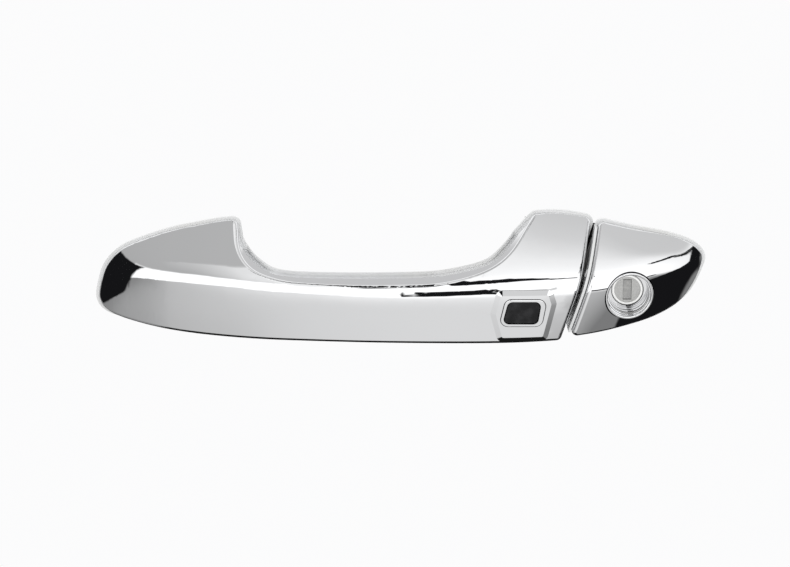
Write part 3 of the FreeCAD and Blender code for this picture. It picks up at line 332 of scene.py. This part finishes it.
# Seals between handle and panel, the bump stop and the plain rubber parts.
# Matt black rubber with a fine bloom of wax on the surface.
RUBBER_BLACK = (0.016, 0.016, 0.016, 1)
RUBBER_BLOOM = (0.040, 0.040, 0.039, 1)
rubber, tree, shader = new_material("seal_rubber", roughness=0.75)
place = add(tree, "ShaderNodeTexCoord").outputs["Object"]
bloom = smooth(tree, noise(tree, place, 160.0, 5.0, 0.7), 0.4, 0.8)
tree.links.new(mixed(tree, bloom, RUBBER_BLACK, RUBBER_BLOOM), shader["Base Color"])
tree.links.new(bump(tree, noise(tree, place, 2200.0, 2.0), 0.00003, 0.4), shader["Normal"])
finish(rubber, "front_gasket", "rear_gasket", "bump_stop")


# Pins, screws, clip, cam, spring and counterweight.
# Steel with a thin zinc plating: pale bluish grey, slightly yellow in places, with a fine crystal sparkle.
PLATED_STEEL = (0.62, 0.63, 0.65, 1)
WARM_PLATING = (0.66, 0.63, 0.55, 1)


def plated_steel(name, sheen):
    """Zinc-plated steel; a higher `sheen` is rougher, as on pressed sheet."""
    material, tree, shader = new_material(name, metallic=1.0)
    place = add(tree, "ShaderNodeTexCoord").outputs["Object"]
    cast = smooth(tree, noise(tree, place, 120.0, 3.0), 0.45, 0.75)
    tree.links.new(mixed(tree, cast, PLATED_STEEL, WARM_PLATING), shader["Base Color"])
    crystals = add(tree, "ShaderNodeTexVoronoi", {"Vector": place, "Scale": 3000.0}).outputs["Distance"]
    tree.links.new(smooth(tree, crystals, 0.1, 0.7, sheen - 0.06, sheen + 0.08), shader["Roughness"])
    tree.links.new(bump(tree, crystals, 0.00001, 0.4), shader["Normal"])
    return material


turned_steel = plated_steel("turned_steel", 0.24)
finish(turned_steel, "pivot_pin", "crank_pin", "handle_screws", "lock_retaining_screw", "return_spring")
finish(plated_steel("pressed_steel", 0.36), "lock_cam", "cam_clip", "counterweight")


# Studio: a white screen close behind the handle, and a pale floor well below it.
# The screen is only seen by the camera and in mirrors; it is clear from behind and sheds no light.
# Mirrors see a painted grey patch on it behind the grip, a painted reflection of a door's shaded hand recess,
# and painted black low down.
WALL_Y = 0.062
WALL_HALF_WIDTH = 0.19
WALL_HIGH = 0.114
FLOOR_Z = -0.22
SCREEN_WHITE = (0.97, 0.97, 0.975, 1)
RECESS_REFLECTION_GREY = (0.58, 0.58, 0.585, 1)
DARK_BELOW = (0.01, 0.01, 0.01, 1)


def flat_sheet(name, corners):
    mesh = bpy.data.meshes.new(name)
    mesh.from_pydata(corners, [], [(0, 1, 2, 3)])
    sheet = bpy.data.objects.new(name, mesh)
    bpy.context.scene.collection.objects.link(sheet)
    return sheet


wall_corners = [
    (-WALL_HALF_WIDTH, FLOOR_Z),
    (WALL_HALF_WIDTH, FLOOR_Z),
    (WALL_HALF_WIDTH, WALL_HIGH),
    (-WALL_HALF_WIDTH, WALL_HIGH),
]
wall = flat_sheet("wall", [(x, WALL_Y, z) for x, z in wall_corners])
wall_white, tree, shader = new_material("wall_white")
place = add(tree, "ShaderNodeSeparateXYZ", {0: add(tree, "ShaderNodeTexCoord").outputs["Object"]}).outputs
from_left, from_right = smooth(tree, place["X"], -0.060, -0.048), smooth(tree, place["X"], 0.034, 0.024)
from_below, from_above = smooth(tree, place["Z"], 0.002, 0.010), smooth(tree, place["Z"], 0.060, 0.036)
across = math_node(tree, "MULTIPLY", from_left, from_right)
upward = math_node(tree, "MULTIPLY", from_below, from_above)
mirrored = add(tree, "ShaderNodeLightPath").outputs["Is Glossy Ray"]
# Painted reflection: only mirrors see a grey patch for a shaded hand recess behind the grip, and black low
# down.
recess_reflection = math_node(tree, "MULTIPLY", mirrored, math_node(tree, "MULTIPLY", across, upward))
under = math_node(tree, "MULTIPLY", mirrored, smooth(tree, place["Z"], -0.032, -0.042))
shade = mixed(tree, under, mixed(tree, recess_reflection, SCREEN_WHITE, RECESS_REFLECTION_GREY), DARK_BELOW)
glow = add(tree, "ShaderNodeEmission", {"Color": shade, "Strength": 1.0})
clear = add(tree, "ShaderNodeBsdfTransparent")
from_behind = add(tree, "ShaderNodeNewGeometry").outputs["Backfacing"]
both = add(tree, "ShaderNodeMixShader", {0: from_behind, 1: glow.outputs[0], 2: clear.outputs[0]})
tree.links.new(both.outputs[0], tree.nodes["Material Output"].inputs["Surface"])
wall.data.materials.append(wall_white)
wall.visible_diffuse = False
wall.visible_shadow = False

FLOOR_X, FLOOR_Y = 1.6, 1.4
floor_corners = [(-FLOOR_X, -FLOOR_Y), (FLOOR_X, -FLOOR_Y), (FLOOR_X, FLOOR_Y), (-FLOOR_X, FLOOR_Y)]
floor = flat_sheet("floor", [(x, y, FLOOR_Z) for x, y in floor_corners])
floor_paint, tree, shader = new_material("floor_paint", base_color=(0.85, 0.85, 0.85, 1), roughness=0.9)
floor.data.materials.append(floor_paint)
floor.visible_glossy = False


# Light: even and soft all round. Polished metal sees the studio's panels, laid out by direction in degrees:
# `turn` is to the right of the handle's front and `climb` is up from level.
world = bpy.data.worlds.new("studio")
bpy.context.scene.world = world
world.use_nodes = True
tree = world.node_tree
tree.nodes.clear()
way = add(tree, "ShaderNodeSeparateXYZ", {0: add(tree, "ShaderNodeTexCoord").outputs["Generated"]}).outputs
forward = math_node(tree, "MULTIPLY", way["Y"], -1.0)
turn = math_node(tree, "DEGREES", math_node(tree, "ARCTAN2", way["X"], forward))
climb = math_node(tree, "DEGREES", math_node(tree, "ARCSINE", way["Z"]))


def level(grey):
    """Strength of a panel that shows in the plating as this grey, from 0 to 255."""
    return (grey / 255) ** 2.2 / CHROME_TINT[0]


def shades(value, stops):
    """Grey panels along a value: (value, grey) pairs, blended in between."""
    low, high = stops[0][0], stops[-1][0]
    place = add(tree, "ShaderNodeMapRange", {"Value": value, "From Min": low, "From Max": high})
    ramp = add(tree, "ShaderNodeValToRGB", {"Fac": place.outputs["Result"]})
    points = ramp.color_ramp.elements
    while len(points) < len(stops):
        points.new(0.5)
    for point, (at, grey) in zip(points, stops):
        point.position = (at - low) / (high - low)
        point.color = (level(grey), level(grey), level(grey), 1)
    return ramp.outputs["Color"]


def within(value, low, high, soft):
    """A mask that is 1 between two limits, with soft edges outside them."""
    return all_of(smooth(tree, value, low - soft, low), smooth(tree, value, high + soft, high))


def all_of(*masks):
    kept = masks[0]
    for mask in masks[1:]:
        kept = math_node(tree, "MULTIPLY", kept, mask)
    return kept


# Overhead: white in front, grey towards the door, and a grey panel on the left
OVERHEAD = [
    (-1.0, 267), (-0.5, 267), (-0.3, 253), (-0.1, 244), (0.03, 236),
    (0.13, 222), (0.22, 206), (0.3, 198), (1.0, 191),
]
overhead = shades(way["Y"], OVERHEAD)
left_panel = shades(way["X"], [(-0.9, 165), (-0.3, 174), (0.0, 178)])
far_left = all_of(smooth(tree, way["X"], -0.02, -0.5), smooth(tree, way["Z"], 0.64, 0.72))
near_left = all_of(
    smooth(tree, way["X"], -0.10, -0.21),
    smooth(tree, way["Y"], -0.20, -0.10),
    smooth(tree, way["Z"], 0.5, 0.6),
)
overhead = mixed(tree, math_node(tree, "MAXIMUM", far_left, near_left), overhead, left_panel)

# Below: the ground in front of the door, darker to both sides
GROUND_RIGHT = [(30, 183), (40, 172), (50, 150), (60, 120)]
NEAR_GROUND = [
    (-80, 125), (-60, 133), (-50, 152), (-40, 182), (-30, 207),
    (-20, 221), (-8, 234), (10, 240), (24, 235),
]
DEEP_GROUND = [(-80, 134), (-60, 162), (-40, 190), (-20, 208), (0, 213), (24, 213)]
near_ground = shades(turn, NEAR_GROUND + GROUND_RIGHT)
deep_ground = shades(turn, DEEP_GROUND + GROUND_RIGHT)
ground = mixed(tree, smooth(tree, climb, -8, -45), near_ground, deep_ground)
horizon = smooth(tree, turn, -20, 20, -2, -20)
soft_horizon = smooth(tree, turn, -30, 10, 2, 8)
below = math_node(tree, "SUBTRACT", climb, horizon)
lower_half = smooth(tree, math_node(tree, "DIVIDE", below, soft_horizon), 1, -1)
surround = mixed(tree, lower_half, overhead, ground)
pad_panel = all_of(within(turn, 6.0, 17, 1.5), within(climb, 8.5, 17, 1.0))
surround = mixed(tree, pad_panel, surround, (level(206), level(206), level(206), 1))
surround = mixed(tree, smooth(tree, climb, -61.0, -65.0), surround, DARK_BELOW)

# Dark ends of the room, left and right
dark_left = all_of(
    smooth(tree, turn, -64, -68), within(climb, -23, 40, 3), smooth(tree, way["Y"], 0.17, 0.08)
)
slant = math_node(tree, "MULTIPLY", math_node(tree, "MINIMUM", climb, 2.0), 0.73)
lowest_limit = smooth(tree, climb, -44, -52, 62.0, 78.0)
right_limit = math_node(tree, "MAXIMUM", math_node(tree, "ADD", slant, 88.0), lowest_limit)
past_limit = smooth(tree, math_node(tree, "SUBTRACT", turn, right_limit), -2, 1)
dark_right = all_of(past_limit, smooth(tree, climb, 46, 43), smooth(tree, way["Y"], 0.40, 0.28))

# Narrow dark gaps between the panels
leftward = math_node(tree, "DIVIDE", math_node(tree, "SUBTRACT", 30.0, turn), 35.0)
arc = math_node(tree, "POWER", math_node(tree, "MAXIMUM", leftward, 0.0), 2.0)
middle_line = math_node(tree, "ADD", math_node(tree, "MULTIPLY", arc, 18.0), 43.3)
off_line = math_node(tree, "ABSOLUTE", math_node(tree, "SUBTRACT", climb, middle_line))
gap_width = smooth(tree, turn, 3, 28, 6.0, 1.6)
near_line = smooth(tree, math_node(tree, "DIVIDE", off_line, gap_width), 1.15, 0.75)
high_gap = all_of(near_line, within(turn, -9, 31, 4))
low_gap = all_of(within(turn, -2.0, 4.8, 0.7), within(climb, -2, 21, 4))
end_gap = all_of(within(climb, 45, 49, 1.5), within(turn, 66, 95, 5))
key_gap = all_of(within(climb, -19.5, -15.5, 1.0), within(turn, 29, 60, 3))
grip_gap = all_of(
    within(way["X"], -0.070, -0.036, 0.005),
    within(way["Y"], -0.24, 0.70, 0.06),
    smooth(tree, way["Z"], 0.4, 0.5),
)
dark = dark_left
for gap in (dark_right, high_gap, low_gap, end_gap, key_gap, grip_gap):
    dark = math_node(tree, "MAXIMUM", dark, gap)
surround = mixed(tree, dark, surround, (0.008, 0.008, 0.009, 1))

PLAIN_SKY = (0.93, 0.93, 0.935, 1)
seen_in_metal = add(tree, "ShaderNodeLightPath").outputs["Is Glossy Ray"]
sky_colour = mixed(tree, seen_in_metal, PLAIN_SKY, surround)
sky = add(tree, "ShaderNodeBackground", {"Color": sky_colour, "Strength": 1.0})
add(tree, "ShaderNodeOutputWorld", {"Surface": sky.outputs[0]})


# Camera: in front of the door and 15 degrees above the handle, as the photograph was taken
CAMERA_TILT = math.radians(15)
CAMERA_DISTANCE = 1.1
AIM = (-0.00294, -0.020, 0.00063)
PIXEL = 0.00042
PICTURE_WIDTH = 790
SENSOR_WIDTH = 36.0
camera_data = bpy.data.cameras.new("camera")
camera_data.sensor_width = SENSOR_WIDTH
camera_data.lens = SENSOR_WIDTH * (CAMERA_DISTANCE / PIXEL) / PICTURE_WIDTH
camera = bpy.data.objects.new("camera", camera_data)
back = CAMERA_DISTANCE * math.cos(CAMERA_TILT)
lift = CAMERA_DISTANCE * math.sin(CAMERA_TILT)
camera.location = (AIM[0], AIM[1] - back, AIM[2] + lift)
camera.rotation_euler = (math.pi / 2 - CAMERA_TILT, 0, 0)
bpy.context.scene.collection.objects.link(camera)
bpy.context.scene.camera = camera
bpy.context.scene.view_settings.view_transform = "Standard"
